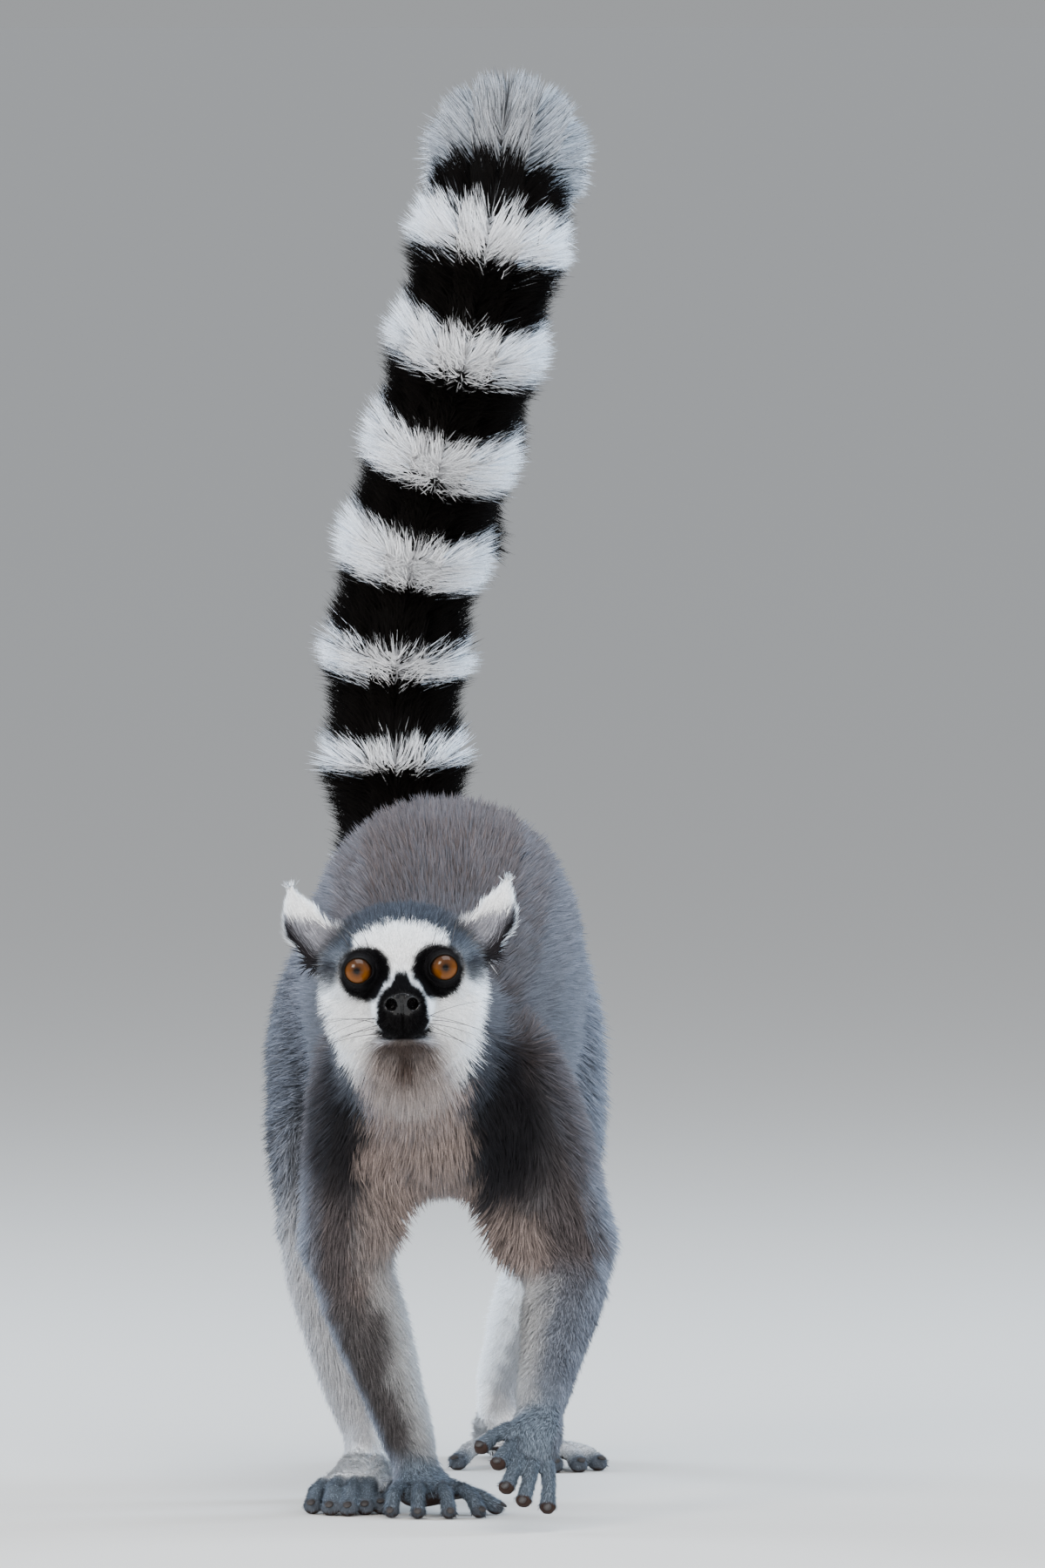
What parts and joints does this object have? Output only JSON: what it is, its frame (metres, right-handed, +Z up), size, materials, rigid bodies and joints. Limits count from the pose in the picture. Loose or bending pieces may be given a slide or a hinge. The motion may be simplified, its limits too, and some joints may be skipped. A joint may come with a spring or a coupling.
{
  "type": "ring-tailed lemur model",
  "caption": "Life-size ring-tailed lemur walking, one hand lifted, ringed bushy tail raised and curled over at the top; a still display animal.",
  "frame": {"origin": "on the floor, under the middle of the animal's bounding box", "axes": "+Z up, -Y the way the animal faces and walks, +X its left side"},
  "size_m": [0.1514, 0.5654, 0.5981],
  "materials": {
    "back_fur": "dense ticked brown-grey fur, matt",
    "grey_fur": "soft grey fur, matt",
    "white_fur": "pale cream-white fur, matt",
    "face_fur": "short white fur with dark eye patches and a grey crown, matt",
    "tail_fur": "long fluffy fur in black and white rings, matt",
    "muzzle_skin": "bare black skin, slightly moist at the nose",
    "hand_skin": "thinly furred grey skin with dark bare pads",
    "eye": "wet amber eye with a small black pupil"
  },
  "bodies": {
    "root": {"head": "face_fur", "muzzle": "muzzle_skin", "nose": "muzzle_skin", "ear_left": "white_fur", "ear_right": "white_fur", "eye_left": "eye", "eye_right": "eye", "neck": "grey_fur", "trunk": "back_fur", "upper_arm_left": "grey_fur", "upper_arm_right": "grey_fur", "forearm_left": "grey_fur", "forearm_right": "grey_fur", "hand_left": "hand_skin", "hand_right": "hand_skin", "thigh_left": "grey_fur", "thigh_right": "grey_fur", "shank_left": "white_fur", "shank_right": "white_fur", "foot_left": "hand_skin", "foot_right": "hand_skin", "tail_root": "tail_fur", "tail_lower": "tail_fur", "tail_middle": "tail_fur", "tail_bend": "tail_fur", "tail_end": "tail_fur"}
  },
  "joints": []
}
